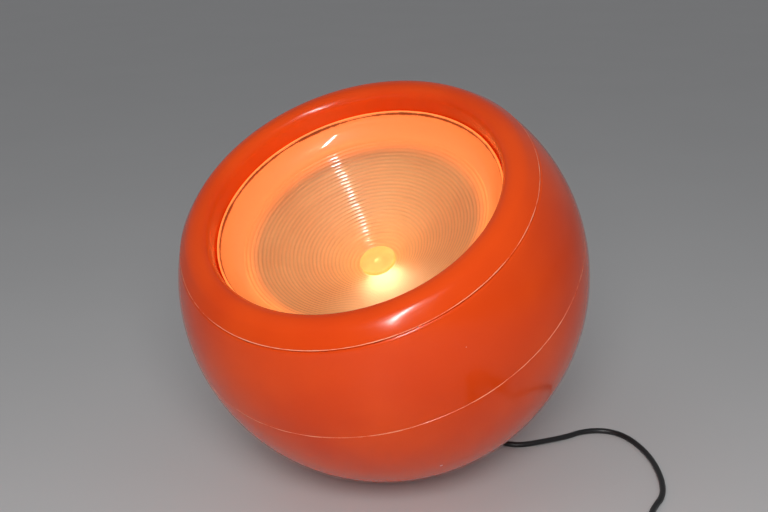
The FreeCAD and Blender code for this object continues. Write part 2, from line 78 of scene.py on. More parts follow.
def placeCamera():
    a = math.radians(camera["azimuth"])
    e = math.radians(camera["elevation"])
    back = Vector((math.sin(a) * math.cos(e), -math.cos(a) * math.cos(e), math.sin(e)))
    level = Vector((math.cos(a), math.sin(a), 0))
    turned = Matrix.Rotation(math.radians(camera["roll"]), 3, back)
    right = turned.inverted() @ level
    up = back.cross(right)
    data = bpy.data.cameras.new("lampCamera")
    data.lens = camera["lens"]
    data.sensor_width = 36
    item = bpy.data.objects.new("lampCamera", data)
    spot = ballCentre + up * camera["above"] + back * camera["distance"]
    item.matrix_world = Matrix.Translation(spot) @ Matrix((right, up, back)).transposed().to_4x4()
    bpy.context.scene.collection.objects.link(item)
    bpy.context.scene.camera = item
    return spot, right, up, back


cameraSpot, cameraRight, cameraUp, cameraBack = placeCamera()
print("camera placed")


# Mains cord ---------------------------------------------------------------------------------

cord = {
    "diameter": 6 * mm,
    "exitW": -212,        # along the lamp's axis, at the skin of the ball
    "bendW": -231.5,
    # corners of the route over the floor, in millimetres
    "route": [
        (2.5, 130, 5.2), (9, 145, 3), (26, 156, 3), (46, 155, 3), (62, 142, 3), (68, 120, 3),
        (75, 97, 3), (88, 85, 3), (105.5, 81, 3), (122.5, 86, 3), (141, 105, 3), (160, 126, 3),
        (170, 144, 3), (188, 158, 3), (209, 160, 3), (231, 148, 3), (256, 122, 3), (277, 87, 3),
        (291, 48, 3), (287, 14, 3), (296, -19, 4.5),
    ],
    "switch": ((346.2, -74.2, 0), -46),     # place and heading
    "throughSwitch": [(-38, 8.5), (-15, 8.5), (15, 8.5), (38, 8.5), (51, 4.5)],
    "coil": ((372.2, -148.9, 0), 50),
    "turns": [(38, 3.0), (32, 3.0), (32, 9.0), (38, 9.0), (32, 15.0), (38, 15.0)],
    "turnPoints": 16,
    "fromCoil": [(-38.6, 20, 11.5)],
    "plug": ((313.5, -150.5, 7), 142),
    "intoPlug": [-8, 8],
}


def placedAt(place, turn):
    return Matrix.Translation(Vector(place) * mm) @ Matrix.Rotation(math.radians(turn), 4, "Z")


switchMatrix = placedAt(*cord["switch"])
coilMatrix = placedAt(*cord["coil"])
plugMatrix = placedAt(*cord["plug"])


def coilPoints():
    count = cord["turnPoints"]
    swell = 1 / math.cos(math.pi / count)     # a spline runs inside its corners
    turns = cord["turns"]
    points = []
    for index, (radius, height) in enumerate(turns):
        nextRadius, nextHeight = turns[min(index + 1, len(turns) - 1)]
        steps = count if index < len(turns) - 1 else count // 2
        drift = 0.5 * math.sin(2.1 * index)   # hand-wound turns aren't quite true
        for step in range(steps):
            blend = max(0.0, (step - count * 0.75) / (count * 0.25))
            r = (radius + (nextRadius - radius) * blend) * swell
            z = height + (nextHeight - height) * blend
            angle = -math.tau * step / count
            points.append((r * math.cos(angle) + drift, r * math.sin(angle) - drift * 0.6, z))
    return points


def makeCord():
    exit = inLamp(0, 0, cord["exitW"])
    corners = [exit, inLamp(0, 0, cord["bendW"])]
    corners += [Vector(p) * mm for p in cord["route"]]
    corners += [switchMatrix @ Vector((x * mm, 0, z * mm)) for x, z in cord["throughSwitch"]]
    corners += [coilMatrix @ (Vector(p) * mm) for p in coilPoints() + cord["fromCoil"]]
    corners += [plugMatrix @ Vector((x * mm, 0, 0)) for x in cord["intoPlug"]]
    data = bpy.data.curves.new("mainsCord", "CURVE")
    data.dimensions = "3D"
    spline = data.splines.new("NURBS")
    spline.points.add(len(corners) - 1)
    for point, corner in zip(spline.points, corners):
        point.co = (*corner, 1)
    spline.order_u = 3
    spline.use_endpoint_u = True
    spline.resolution_u = 6
    data.bevel_depth = cord["diameter"] / 2
    data.bevel_resolution = 6
    data.use_fill_caps = True
    item = bpy.data.objects.new("mainsCord", data)
    bpy.context.scene.collection.objects.link(item)
    return item, exit, spline.calc_length()


mainsCord, cordExit, cordLength = makeCord()
print("cord made, metres:", round(cordLength, 3))


# Shared shader groups -----------------------------------------------------------------------

def addNode(tree, kind, place=(0, 0), inputs=None, **settings):
    node = tree.nodes.new(kind)
    node.location = place
    for key, value in settings.items():
        setattr(node, key, value)
    for key, value in (inputs or {}).items():
        if isinstance(value, bpy.types.NodeSocket):
            tree.links.new(value, node.inputs[key])
        else:
            node.inputs[key].default_value = value
    return node


def mathNode(tree, operation, *values, clamp=False):
    return addNode(tree, "ShaderNodeMath", inputs=dict(enumerate(values)),
                   operation=operation, use_clamp=clamp).outputs[0]


def ramp(tree, value, low, high, toLow=0.0, toHigh=1.0):
    return addNode(tree, "ShaderNodeMapRange", interpolation_type="SMOOTHSTEP", inputs={
        "Value": value, "From Min": low, "From Max": high, "To Min": toLow, "To Max": toHigh}).outputs[0]


def mixColour(tree, factor, a, b):
    node = tree.nodes.new("ShaderNodeMix")
    node.data_type = "RGBA"
    for socket, value in ((node.inputs[0], factor), (node.inputs[6], a), (node.inputs[7], b)):
        if isinstance(value, bpy.types.NodeSocket):
            tree.links.new(value, socket)
        else:
            socket.default_value = value
    return node.outputs[2]


def newGroup(name, inputs, outputs):
    tree = bpy.data.node_groups.new(name, "ShaderNodeTree")
    for label, kind, value in inputs:
        socket = tree.interface.new_socket(label, in_out="INPUT", socket_type="NodeSocket" + kind)
        if value is not None:
            socket.default_value = value
    for label, kind in outputs:
        tree.interface.new_socket(label, in_out="OUTPUT", socket_type="NodeSocket" + kind)
    return tree, tree.nodes.new("NodeGroupInput"), tree.nodes.new("NodeGroupOutput")


def makeMouldedGroup():
    # slow waviness, fine haze marks and scattered scratches of a polished moulding
    tree, given, out = newGroup("mouldedGloss", [
        ("Vector", "Vector", None), ("Haze", "Float", 0.05), ("Scratches", "Float", 0.5)],
        [("Roughness", "Float"), ("Height", "Float"), ("Cloud", "Float")])
    wave = addNode(tree, "ShaderNodeTexNoise", inputs={
        "Vector": given.outputs[0], "Scale": 9.0, "Detail": 2.0})
    grain = addNode(tree, "ShaderNodeTexNoise", inputs={
        "Vector": given.outputs[0], "Scale": 420.0, "Detail": 4.0})
    streaks = addNode(tree, "ShaderNodeMapping", inputs={
        "Vector": given.outputs[0], "Rotation": (0.4, 0.9, 0.3), "Scale": (1.0, 14.0, 1.4)})
    scratch = addNode(tree, "ShaderNodeTexNoise", inputs={
        "Vector": streaks.outputs[0], "Scale": 46.0, "Detail": 6.0, "Roughness": 0.7})
    lines = ramp(tree, scratch.outputs[0], 0.66, 0.74)
    fine = mathNode(tree, "MULTIPLY", lines, given.outputs["Scratches"])
    haze = mathNode(tree, "MULTIPLY", grain.outputs[0], given.outputs["Haze"])
    rough = mathNode(tree, "MULTIPLY_ADD", fine, 0.12, haze)
    height = mathNode(tree, "MULTIPLY_ADD", fine, -0.05, wave.outputs[0])
    tree.links.new(rough, out.inputs["Roughness"])
    tree.links.new(height, out.inputs["Height"])
    tree.links.new(wave.outputs[0], out.inputs["Cloud"])
    return tree


def makeDustGroup():
    # loose specks that lie on a surface
    tree, given, out = newGroup("dustSpecks", [
        ("Vector", "Vector", None), ("Scale", "Float", 90.0), ("Amount", "Float", 0.04)], [("Mask", "Float")])
    cells = addNode(tree, "ShaderNodeTexVoronoi", inputs={
        "Vector": given.outputs[0], "Scale": given.outputs["Scale"], "Randomness": 1.0})
    chance = addNode(tree, "ShaderNodeSeparateColor", inputs={"Color": cells.outputs["Color"]})
    chosen = mathNode(tree, "LESS_THAN", chance.outputs[0], given.outputs["Amount"])
    size = mathNode(tree, "MULTIPLY_ADD", chance.outputs[1], 0.12, 0.03)
    near = mathNode(tree, "LESS_THAN", cells.outputs["Distance"], size)
    tree.links.new(mathNode(tree, "MULTIPLY", chosen, near), out.inputs["Mask"])
    return tree


def makeBandGroup():
    # a broken line round the lamp at one place along its axis; it serves worn lines, painted shade in seams
    # and gaps and a painted highlight
    tree, given, out = newGroup("wearAndPaintedLightLine", [
        ("Vector", "Vector", None), ("Along", "Float", 0.0), ("Place", "Float", 0.0),
        ("Width", "Float", 0.001), ("Break", "Float", 0.5)], [("Mask", "Float")])
    lineNoise = addNode(tree, "ShaderNodeTexNoise", inputs={
        "Vector": given.outputs["Vector"], "Scale": 34.0, "Detail": 6.0, "Roughness": 0.75})
    offset = mathNode(tree, "SUBTRACT", given.outputs["Along"], given.outputs["Place"])
    away = mathNode(tree, "ABSOLUTE", offset)
    uneven = ramp(tree, lineNoise.outputs[0], 0.35, 0.7, 0.35, 1.5)
    reach = mathNode(tree, "MULTIPLY", given.outputs["Width"], uneven)
    line = ramp(tree, mathNode(tree, "DIVIDE", away, reach), 0.5, 1.0, 1.0, 0.0)
    cut = mathNode(tree, "MULTIPLY_ADD", given.outputs["Break"], 0.55, 0.15)
    kept = ramp(tree, lineNoise.outputs[0], mathNode(tree, "SUBTRACT", cut, 0.16), cut)
    tree.links.new(mathNode(tree, "MULTIPLY", line, kept, clamp=True), out.inputs["Mask"])
    return tree


groups = {"moulded": makeMouldedGroup(), "dust": makeDustGroup(), "band": makeBandGroup()}


def placeGroup(tree, name, **inputs):
    return addNode(tree, "ShaderNodeGroup", node_tree=groups[name],
                   inputs={key.replace("_", " "): value for key, value in inputs.items()})


def lampCoordinates(tree):
    # the surface point in the lamp's own frame, its distance from the axis and its place along it
    inverse = lampMatrix.inverted()
    place = addNode(tree, "ShaderNodeTexCoord").outputs["Object"]
    local = addNode(tree, "ShaderNodeMapping", inputs={
        "Vector": place, "Location": inverse.to_translation(), "Rotation": inverse.to_euler()}).outputs[0]
    parts = addNode(tree, "ShaderNodeSeparateXYZ", inputs={0: local})
    square = mathNode(tree, "MULTIPLY_ADD", parts.outputs[1], parts.outputs[1],
                      mathNode(tree, "MULTIPLY", parts.outputs[0], parts.outputs[0]))
    return local, mathNode(tree, "SQRT", square), parts.outputs[2]


def newMaterial(name, **inputs):
    material = bpy.data.materials.new(name)
    material.use_nodes = True
    tree = material.node_tree
    shader = tree.nodes["Principled BSDF"]
    for key, value in inputs.items():
        shader.inputs[key].default_value = value
    return material, tree, shader


def bumpInto(tree, shader, height, distance, strength=1.0):
    bump = addNode(tree, "ShaderNodeBump", inputs={
        "Height": height, "Distance": distance, "Strength": strength})
    tree.links.new(bump.outputs[0], shader.inputs["Normal"])


# Finishes -----------------------------------------------------------------------------------

shellFinish = {
    "orange": (0.76, 0.068, 0.004, 1),
    "deep": (0.68, 0.052, 0.003, 1),
    # the pale colour below is wear on the shells' seam and also a painted highlight on the ring's edge at its
    # seam
    "wearAndPaintedLight": (0.84, 0.32, 0.18, 1),
    "dust": (0.80, 0.66, 0.58, 1),
    # painted shade: the dark line in the groove of the ring's seam
    "paintedSeamShade": (0.30, 0.020, 0.002, 1),
    "rough": 0.13,
    "dustLook": (70.0, 0.05, 0.6, 0.4),     # scale, amount, share of colour, added roughness
    "skinR": 165 * mm,     # the lines are on the outer skin only
    # place along the axis, width, how broken, colour
    # at 17 mm, wear on the shells' seam; at 107.2 mm, painted shade in the groove of the ring's seam; at
    # 108.4 mm, a painted highlight on the ring's edge
    "lines": [(17 * mm, 0.6 * mm, 0.4, "wearAndPaintedLight"), (107.2 * mm, 0.8 * mm, 0.1, "paintedSeamShade"),
              (108.4 * mm, 0.35 * mm, 0.6, "wearAndPaintedLight")],
}


def orangeGloss(name, scratches):
    material, tree, shader = newMaterial(name, **{
        "IOR": 1.42, "Specular IOR Level": 0.36, "Coat Weight": 0.05, "Coat Roughness": 0.05})
    local, radial, along = lampCoordinates(tree)
    surface = placeGroup(tree, "moulded", Vector=local, Haze=0.10, Scratches=scratches)
    colour = mixColour(tree, ramp(tree, surface.outputs["Cloud"], 0.3, 0.7),
                       shellFinish["orange"], shellFinish["deep"])
    onSkin = mathNode(tree, "GREATER_THAN", radial, shellFinish["skinR"])
    # lines round the seams: wear, painted shade and a painted highlight
    for place, width, gap, shade in shellFinish["lines"]:
        wearAndPaintedLight = placeGroup(tree, "band", Vector=local, Along=along, Place=place, Width=width, Break=gap)
        mask = mathNode(tree, "MULTIPLY", wearAndPaintedLight.outputs[0], onSkin)
        colour = mixColour(tree, mask, colour, shellFinish[shade])
    scale, amount, dustColour, dustRough = shellFinish["dustLook"]
    dust = placeGroup(tree, "dust", Vector=local, Scale=scale, Amount=amount)
    dusted = mathNode(tree, "MULTIPLY", dust.outputs[0], dustColour)
    colour = mixColour(tree, dusted, colour, shellFinish["dust"])
    rough = mathNode(tree, "ADD", surface.outputs["Roughness"], shellFinish["rough"])
    rough = mathNode(tree, "MULTIPLY_ADD", dust.outputs[0], dustRough, rough, clamp=True)
    tree.links.new(colour, shader.inputs["Base Color"])
    tree.links.new(rough, shader.inputs["Roughness"])
    bumpInto(tree, shader, surface.outputs["Height"], 0.35 * mm, 0.25)
    return material


# The diffuser's glow is painted: its emission stands in for the bulb's light shining through it. It is
# stronger on the plain band and near the bulb, lighter and darker over each ring, brighter on the rim's top,
# and dimmed by painted shade along the line inside the rim.
dishFinish = {
    "tint": (0.52, 0.28, 0.125, 1),
    "paleTint": (0.56, 0.33, 0.15, 1),
    "bandTint": (0.92, 0.40, 0.14, 1),
    "glow": (1.0, 0.24, 0.04, 1),          # over the rings
    "bandGlow": (1.0, 0.22, 0.03, 1),      # the plain band
    "nearGlow": (1.0, 0.34, 0.04, 1),      # close to the bulb
    "gapTint": (0.30, 0.06, 0.012, 1),     # the shaded line inside the rim
    "lines": (21 * mm, 3.5 * mm, -0.05),   # first ring, pitch, change of level
    "ringedTo": 126 * mm,
    "bandFade": 18 * mm,
    "near": (12 * mm, 75 * mm),
    "levels": (0.11, 0.30),                # the rings' and the plain band's glow
    "nearLevel": 0.16,
    "edge": (98.8 * mm, 0.4 * mm, 0.5),    # the rim's lit top: place, fade, level
    "gap": (97.0 * mm, 1.5 * mm, 0.2),     # place, width, share of the glow left
    "rough": (0.4, 0.5),
}


def ringedPlastic():
    material, tree, shader = newMaterial("amberDiffuser", **{
        "IOR": 1.3, "Transmission Weight": 0.5, "Specular IOR Level": 0.25, "Coat Weight": 0.6,
        "Coat Roughness": 0.06, "Emission Strength": 1.0})
    local, radial, along = lampCoordinates(tree)
    cloud = addNode(tree, "ShaderNodeTexNoise", inputs={"Vector": local, "Scale": 14.0, "Detail": 3.0})
    band = ramp(tree, radial, dishFinish["ringedTo"] - dishFinish["bandFade"], dishFinish["ringedTo"])
    near = ramp(tree, radial, *dishFinish["near"], 1.0, 0.0)
    glow = mixColour(tree, near, dishFinish["glow"], dishFinish["nearGlow"])
    glow = mixColour(tree, band, glow, dishFinish["bandGlow"])
    # painted shading of the rings: the glow goes lighter and darker over each ring
    firstLine, pitch, lineLevel = dishFinish["lines"]
    phase = mathNode(tree, "MULTIPLY", mathNode(tree, "SUBTRACT", radial, firstLine), math.tau / pitch)
    line = mathNode(tree, "MULTIPLY", mathNode(tree, "COSINE", phase), mathNode(tree, "SUBTRACT", 1.0, band))
    level = mathNode(tree, "MULTIPLY_ADD", line, lineLevel, ramp(tree, band, 0.0, 1.0, *dishFinish["levels"]))
    level = mathNode(tree, "MULTIPLY_ADD", near, dishFinish["nearLevel"], level)
    edgeW, edgeFade, edgeLevel = dishFinish["edge"]
    level = mathNode(tree, "ADD", level, ramp(tree, along, edgeW, edgeW + edgeFade, 0.0, edgeLevel))
    gapW, gapWidth, gapLeft = dishFinish["gap"]
    shade = placeGroup(tree, "band", Vector=local, Along=along, Place=gapW, Width=gapWidth, Break=0.0)
    level = mathNode(tree, "MULTIPLY", level, ramp(tree, shade.outputs[0], 0.0, 1.0, 1.0, gapLeft))
    glow = mixColour(tree, level, (0, 0, 0, 1), glow)
    tint = mixColour(tree, ramp(tree, cloud.outputs[0], 0.3, 0.7), dishFinish["tint"], dishFinish["paleTint"])
    tint = mixColour(tree, band, tint, dishFinish["bandTint"])
    tint = mixColour(tree, shade.outputs[0], tint, dishFinish["gapTint"])
    rough = ramp(tree, cloud.outputs[0], 0.2, 0.8, *dishFinish["rough"])
    tree.links.new(tint, shader.inputs["Base Color"])
    tree.links.new(glow, shader.inputs["Emission Color"])
    tree.links.new(rough, shader.inputs["Roughness"])
    return material


glassFinish = {
    "glow": (0.92, 0.92, 1.0, 1),
    "core": (7.0, 0.98, 0.02),     # how tight, its level, the level around it
}


def hotGlass():
    # pearl glass, brightest where the filament stands behind it
    material, tree, shader = newMaterial("pearlGlass", **{"Roughness": 0.3, "Emission Strength": 190.0})
    place = addNode(tree, "ShaderNodeTexCoord").outputs["Object"]
    cloud = addNode(tree, "ShaderNodeTexNoise", inputs={"Vector": place, "Scale": 60.0, "Detail": 3.0})
    facing = addNode(tree, "ShaderNodeLayerWeight", inputs={"Blend": 0.5}).outputs["Facing"]
    tight, coreLevel, around = glassFinish["core"]
    core = mathNode(tree, "POWER", mathNode(tree, "SUBTRACT", 1.0, facing), tight)
    core = mathNode(tree, "MULTIPLY_ADD", core, coreLevel, around)
    tree.links.new(mixColour(tree, core, (0, 0, 0, 1), glassFinish["glow"]), shader.inputs["Emission Color"])
    tree.links.new(mixColour(tree, cloud.outputs[0], (1.0, 0.93, 0.82, 1), (0.96, 0.90, 0.80, 1)),
                   shader.inputs["Base Color"])
    return material


def plainFinish(name, colour, rough, metallic=0.0, vary=0.25, scale=60.0, bump=0.05, **more):
    # a solid colour with slight mottling, uneven polish and a fine surface
    inputs = {"Metallic": metallic}
    inputs.update({key.replace("_", " "): value for key, value in more.items()})
    material, tree, shader = newMaterial(name, **inputs)
    place = addNode(tree, "ShaderNodeTexCoord").outputs["Object"]
    surface = placeGroup(tree, "moulded", Vector=place, Haze=0.12, Scratches=0.6)
    mottle = addNode(tree, "ShaderNodeTexNoise", inputs={"Vector": place, "Scale": scale, "Detail": 5.0})
    dark = tuple(c * (1 - vary) for c in colour[:3]) + (1,)
    tree.links.new(mixColour(tree, ramp(tree, mottle.outputs[0], 0.3, 0.7), colour, dark),
                   shader.inputs["Base Color"])
    tree.links.new(mathNode(tree, "ADD", surface.outputs["Roughness"], rough), shader.inputs["Roughness"])
    bumpInto(tree, shader, mottle.outputs[0], bump * mm, 0.4)
    return material


finishes = {
    "shell": orangeGloss("orangeShell", 0.7),
    "ring": orangeGloss("orangeRing", 0.4),
    "dish": ringedPlastic(),
    # the button's emission is a painted glow standing in for the bulb's light shining through it
    "button": plainFinish("amberButton", (0.98, 0.56, 0.20, 1), 0.08, IOR=1.45, Transmission_Weight=0.4,
                          Emission_Color=(1.0, 0.55, 0.12, 1), Emission_Strength=0.42),
    "bulb": hotGlass(),
    "enamel": plainFinish("whiteEnamel", (0.90, 0.84, 0.74, 1), 0.3),
    "zinc": plainFinish("zincSteel", (0.62, 0.62, 0.60, 1), 0.25, 1.0, 0.2, 200.0),
    "brass": plainFinish("drawnBrass", (0.72, 0.52, 0.24, 1), 0.25, 1.0, 0.2, 150.0),
    "solder": plainFinish("solder", (0.6, 0.6, 0.6, 1), 0.4, 1.0),
    "tungsten": plainFinish("hotTungsten", (0.9, 0.6, 0.3, 1), 0.4, 1.0, Emission_Color=(1.0, 0.62, 0.25, 1),
                            Emission_Strength=20.0),
    "darkGlass": plainFinish("blackGlass", (0.02, 0.02, 0.025, 1), 0.06),
    "clearGlass": plainFinish("mountGlass", (0.9, 0.95, 0.9, 1), 0.03, Transmission_Weight=0.9),
    "phenolic": plainFinish("blackPhenolic", (0.022, 0.018, 0.015, 1), 0.28, 0.0, 0.4, 90.0),
    "porcelain": plainFinish("holderPorcelain", (0.80, 0.76, 0.68, 1), 0.35),
    "iron": plainFinish("castIron", (0.035, 0.035, 0.037, 1), 0.6, 0.4, 0.5, 240.0, 0.5),
    "rubber": plainFinish("blackRubber", (0.018, 0.018, 0.018, 1), 0.55, 0.0, 0.35, 300.0, 0.08),
    "cord": plainFinish("cordSheath", (0.012, 0.012, 0.013, 1), 0.32, 0.0, 0.3, 500.0, 0.04),
    "nylon": plainFinish("gripNylon", (0.75, 0.73, 0.66, 1), 0.35),
    "coreBrown": plainFinish("brownCore", (0.10, 0.03, 0.012, 1), 0.4),
    "coreBlue": plainFinish("blueCore", (0.01, 0.06, 0.30, 1), 0.4),
    "switch": plainFinish("switchBlack", (0.015, 0.015, 0.015, 1), 0.2),
    "plug": plainFinish("plugBlack", (0.018, 0.018, 0.018, 1), 0.42, 0.0, 0.3, 400.0, 0.06),
    "nickel": plainFinish("nickelPin", (0.72, 0.70, 0.66, 1), 0.15, 1.0, 0.1),
}
print("finishes made:", len(finishes))


# Turned pieces ------------------------------------------------------------------------------

def arc(r, w, radius, start, end, steps):
    # points of a round stretch of an outline, angles in degrees from the outward direction
    angles = [math.radians(start + (end - start) * i / steps) for i in range(steps + 1)]
    return [(r + radius * math.cos(a), w + radius * math.sin(a)) for a in angles]


def softened(corners, steps=4):
    # rounds each corner that gives a radius as its third number
    outline = []
    for index, corner in enumerate(corners):
        if len(corner) == 2:
            outline.append(corner)
            continue
        here = Vector(corner[:2])
        back = (Vector(corners[index - 1][:2]) - here).normalized()
        ahead = (Vector(corners[(index + 1) % len(corners)][:2]) - here).normalized()
        half = back.angle(ahead) / 2
        centre = here + (back + ahead).normalized() * corner[2] / math.sin(half)
        start = here + back * corner[2] / math.tan(half) - centre
        end = here + ahead * corner[2] / math.tan(half) - centre
        for step in range(steps + 1):
            spoke = start.lerp(end, step / steps).normalized() * corner[2]
            outline.append(tuple(centre + spoke))
    return outline


def makeTurnedTree():
    # turns a closed outline about the z axis; ribs are raised on it where its "rib" attribute is 1
    tree = bpy.data.node_groups.new("turnedBody", "GeometryNodeTree")
    sockets = (("Outline", "Geometry", None), ("Segments", "Int", 96), ("Rib Start", "Float", 0.0),
               ("Rib Pitch", "Float", 0.0035), ("Rib Height", "Float", 0.0), ("Rib Slope", "Float", 0.0),
               ("Finish", "Material", None))
    for label, kind, value in sockets:
        socket = tree.interface.new_socket(label, in_out="INPUT", socket_type="NodeSocket" + kind)
        if value is not None:
            socket.default_value = value
    tree.interface.new_socket("Body", in_out="OUTPUT", socket_type="NodeSocketGeometry")
    given = tree.nodes.new("NodeGroupInput")
    out = tree.nodes.new("NodeGroupOutput")

    def value(operation, *values):
        return addNode(tree, "ShaderNodeMath", inputs=dict(enumerate(values)), operation=operation).outputs[0]

    def sample(socket, kind, index):
        node = addNode(tree, "GeometryNodeSampleIndex", data_type=kind, domain="POINT")
        tree.links.new(given.outputs["Outline"], node.inputs["Geometry"])
        tree.links.new(socket, node.inputs["Value"])
        tree.links.new(index, node.inputs["Index"])
        return node.outputs[0]

    size = addNode(tree, "GeometryNodeAttributeDomainSize", component="MESH")
    tree.links.new(given.outputs["Outline"], size.inputs[0])
    count = size.outputs["Point Count"]
    across = value("ADD", given.outputs["Segments"], 1.0)
    grid = addNode(tree, "GeometryNodeMeshGrid")
    tree.links.new(value("ADD", count, 1.0), grid.inputs["Vertices X"])
    tree.links.new(across, grid.inputs["Vertices Y"])
    index = addNode(tree, "GeometryNodeInputIndex").outputs[0]
    row = value("FLOOR", value("DIVIDE", value("ADD", index, 0.5), across))
    column = value("SUBTRACT", index, value("MULTIPLY", row, across))
    onOutline = value("FLOORED_MODULO", row, count)
    spot = sample(addNode(tree, "GeometryNodeInputPosition").outputs[0], "FLOAT_VECTOR", onOutline)
    ribbed = sample(addNode(tree, "GeometryNodeInputNamedAttribute", data_type="FLOAT",
                            inputs={"Name": "rib"}).outputs[0], "FLOAT", onOutline)
    parts = addNode(tree, "ShaderNodeSeparateXYZ", inputs={0: spot})
    r = parts.outputs[0]
    phase = value("DIVIDE", value("SUBTRACT", r, given.outputs["Rib Start"]), given.outputs["Rib Pitch"])
    crest = value("ABSOLUTE", value("SINE", value("MULTIPLY", phase, math.pi)))
    lift = value("MULTIPLY", value("MULTIPLY", crest, given.outputs["Rib Height"]), ribbed)
    outward = value("SUBTRACT", r, value("MULTIPLY", lift, value("SINE", given.outputs["Rib Slope"])))
    raised = value("MULTIPLY", lift, value("COSINE", given.outputs["Rib Slope"]))
    along = value("ADD", parts.outputs[2], raised)
    angle = value("MULTIPLY", value("DIVIDE", column, given.outputs["Segments"]), math.tau)
    place = addNode(tree, "ShaderNodeCombineXYZ", inputs={
        0: value("MULTIPLY", outward, value("COSINE", angle)),
        1: value("MULTIPLY", outward, value("SINE", angle)), 2: along})
    moved = addNode(tree, "GeometryNodeSetPosition")
    tree.links.new(grid.outputs["Mesh"], moved.inputs["Geometry"])
    tree.links.new(place.outputs[0], moved.inputs["Position"])
    merged = addNode(tree, "GeometryNodeMergeByDistance", inputs={"Distance": 1e-6})
    tree.links.new(moved.outputs[0], merged.inputs["Geometry"])
    real = addNode(tree, "GeometryNodeRealizeInstances")
    tree.links.new(merged.outputs[0], real.inputs[0])
    dressed = addNode(tree, "GeometryNodeSetMaterial")
    tree.links.new(real.outputs[0], dressed.inputs["Geometry"])
    tree.links.new(given.outputs["Finish"], dressed.inputs["Material"])
    tree.links.new(dressed.outputs[0], out.inputs[0])
    return tree


turnedTree = makeTurnedTree()


def evaluated(item, name):
    # the modifier's result as a plain mesh object
    bpy.context.view_layer.update()
    mesh = bpy.data.meshes.new_from_object(item.evaluated_get(bpy.context.evaluated_depsgraph_get()))
    bpy.data.objects.remove(item)
    mesh.name = name
    piece = bpy.data.objects.new(name, mesh)
    bpy.context.scene.collection.objects.link(piece)
    return piece


def finish(piece, matrix=None, sharp=32):
    # merges, turns the faces outward, puts the piece in its place and smooths it
    work = bmesh.new()
    work.from_mesh(piece.data)
    bmesh.ops.remove_doubles(work, verts=work.verts, dist=1e-6)
    bmesh.ops.dissolve_degenerate(work, edges=work.edges, dist=1e-7)
    bmesh.ops.recalc_face_normals(work, faces=work.faces)
    if matrix:
        bmesh.ops.transform(work, matrix=matrix, verts=work.verts)
    work.to_mesh(piece.data)
    work.free()
    piece.data.shade_smooth()
    piece.data.set_sharp_from_angle(angle=math.radians(sharp))
    return piece


def turnPiece(name, outline, finishName, body, segments=128, ribs=None, matrix=lampMatrix, sharp=32):
    mesh = bpy.data.meshes.new(name + "Outline")
    count = len(outline)
    edges = [(i, (i + 1) % count) for i in range(count)]
    mesh.from_pydata([(r * mm, 0, w * mm) for r, w in outline], edges, [])
    flags = mesh.attributes.new("rib", "FLOAT", "POINT")
    if ribs:
        for index, (r, w) in enumerate(outline):
            flags.data[index].value = float(ribs["start"] <= r <= ribs["end"] and ribs["top"](r, w))
    item = bpy.data.objects.new(name + "Outline", mesh)
    bpy.context.scene.collection.objects.link(item)
    modifier = item.modifiers.new("turn", "NODES")
    modifier.node_group = turnedTree
    sockets = {s.name: s.identifier for s in turnedTree.interface.items_tree if s.in_out == "INPUT"}
    modifier[sockets["Segments"]] = segments
    modifier[sockets["Finish"]] = finishes[finishName]
    if ribs:
        modifier[sockets["Rib Start"]] = ribs["start"] * mm
        modifier[sockets["Rib Pitch"]] = ribs["pitch"] * mm
        modifier[sockets["Rib Height"]] = ribs["height"] * mm
        modifier[sockets["Rib Slope"]] = ribs["slope"]
    piece = finish(evaluated(item, name), matrix, sharp)
    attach(piece, body)
    return piece


# Ball and ring ------------------------------------------------------------------------------

ball = {"wall": 3.0, "seamW": 17.0, "mouthW": 106.6, "edge": 0.5, "poleHole": 6.2, "spigotR": 206.0}


def sphereArc(radius, lowW, highW, steps):
    low, high = (math.degrees(math.asin(w / radius)) for w in (lowW, highW))
    return arc(0, 0, radius, low, high, steps)


def poleW(radius):
    return -math.sqrt(radius ** 2 - ball["poleHole"] ** 2)


def makeRearShell():
    inner = ballR - ball["wall"]
    outside = sphereArc(ballR, poleW(ballR), ball["seamW"] - ball["edge"], 72)
    inside = sphereArc(inner, ball["seamW"], poleW(inner), 40)
    edgeR = math.sqrt(ballR ** 2 - ball["seamW"] ** 2) - ball["edge"]
    edge = [(edgeR + 0.22, ball["seamW"] - 0.12), (edgeR, ball["seamW"])]
    return turnPiece("rearShell", outside + edge + inside, "shell", "lamp", 256)


def makeFrontShell():
    inner = ballR - ball["wall"]
    edgeR = math.sqrt(ballR ** 2 - ball["seamW"] ** 2) - ball["edge"]
    outside = sphereArc(ballR, ball["seamW"] + ball["edge"], ball["mouthW"] - 0.7, 40)
    inside = sphereArc(inner, 98.0, 27.0, 24)
    rim = [(math.sqrt(inner ** 2 - ball["mouthW"] ** 2), ball["mouthW"])]
    seat = sphereArc(inner, ball["mouthW"] - 1, 101.0, 4) + [(173.5, 101.0), (173.5, 98.0)]
    spigot = [(ball["spigotR"] - 2.6, 23.0), (ball["spigotR"] - 2.6, 7.0), (ball["spigotR"], 7.0),
              (ball["spigotR"], ball["seamW"])]
    start = [(edgeR, ball["seamW"]), (edgeR + 0.22, ball["seamW"] + 0.12)]
    topR = math.sqrt(ballR ** 2 - ball["mouthW"] ** 2)
    top = [(topR - 0.8, ball["mouthW"])]
    return turnPiece("frontShell", start + outside + top + rim + seat + inside + spigot, "shell", "lamp", 256)


ring = {
    "seam": (181.4, 107.1), "crestR": 157.7, "crestW": 123.7, "outerRound": 20.0, "innerRound": 11.0,
    "lip": (146.6, 104.2), "ledgeR": 132.0, "ledgeW": 77.5, "ledgeThick": 3.2, "wall": 3.0,
}


